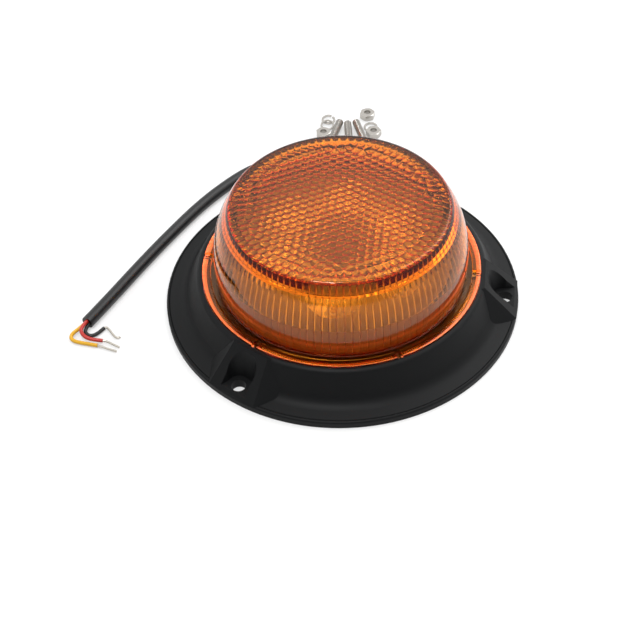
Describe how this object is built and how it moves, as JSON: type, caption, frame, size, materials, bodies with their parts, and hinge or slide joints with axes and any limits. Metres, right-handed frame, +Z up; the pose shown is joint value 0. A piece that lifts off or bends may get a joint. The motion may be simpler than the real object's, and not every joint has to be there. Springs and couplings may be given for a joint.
{
  "type": "flashing beacon",
  "caption": "Low amber signal beacon with a flat-topped lens on a flared black base, open mounting lugs, a free supply lead with bared cores and its loose fixing hardware.",
  "frame": {"origin": "centre of the base's underside, on the mounting surface", "axes": "+Z up through the lens, +X through the middle of one mounting lug, the lead leaves the base near +Y"},
  "size_m": [0.1981, 0.2159, 0.0537],
  "materials": {
    "housing_plastic": "satin",
    "lens_amber": "gloss",
    "seal_rubber": "matte",
    "zinc_steel": "satin",
    "stainless_steel": "satin",
    "plain_aluminium": "satin",
    "bright_reflector": "gloss",
    "board_white": "satin",
    "board_green": "satin",
    "lamp_clear": "gloss",
    "cap_black": "satin",
    "chip_black": "satin",
    "coil_ferrite": "matte",
    "terminal_green": "satin",
    "jacket_black": "satin",
    "core_red": "satin",
    "core_yellow": "satin",
    "core_black": "satin",
    "tinned_copper": "satin",
    "pin_brass": "satin"
  },
  "bodies": {
    "root": {"base_housing": "housing_plastic", "lens": "lens_amber", "lens_seal": "seal_rubber", "lens_screws": "zinc_steel", "heat_spreader": "plain_aluminium", "led_board": "board_white", "reflector_tray": "bright_reflector", "hub_cap": "cap_black", "tray_screws": "zinc_steel", "driver_board": "board_green", "driver_screws": "zinc_steel", "smoothing_capacitors": "chip_black", "choke_coil": "coil_ferrite", "flash_controller": "chip_black", "power_switches": "chip_black", "link_header": "chip_black", "link_pins": "pin_brass", "lead_bush": "seal_rubber", "lead_tail": "jacket_black", "supply_cores": "core_red", "terminal_block": "terminal_green", "lead_jacket": "jacket_black", "core_red": "core_red", "core_yellow": "core_yellow", "core_black": "core_black", "strands_red": "tinned_copper", "strands_yellow": "tinned_copper", "strands_black": "tinned_copper", "led_1": "lamp_clear", "led_2": "lamp_clear", "led_3": "lamp_clear", "led_4": "lamp_clear", "led_5": "lamp_clear", "led_6": "lamp_clear", "mount_screw_1": "stainless_steel", "mount_nut_1": "stainless_steel", "spring_washer_1": "stainless_steel", "mount_screw_2": "stainless_steel", "mount_nut_2": "stainless_steel", "spring_washer_2": "stainless_steel", "mount_screw_3": "stainless_steel", "mount_nut_3": "stainless_steel", "spring_washer_3": "stainless_steel"}
  },
  "joints": []
}
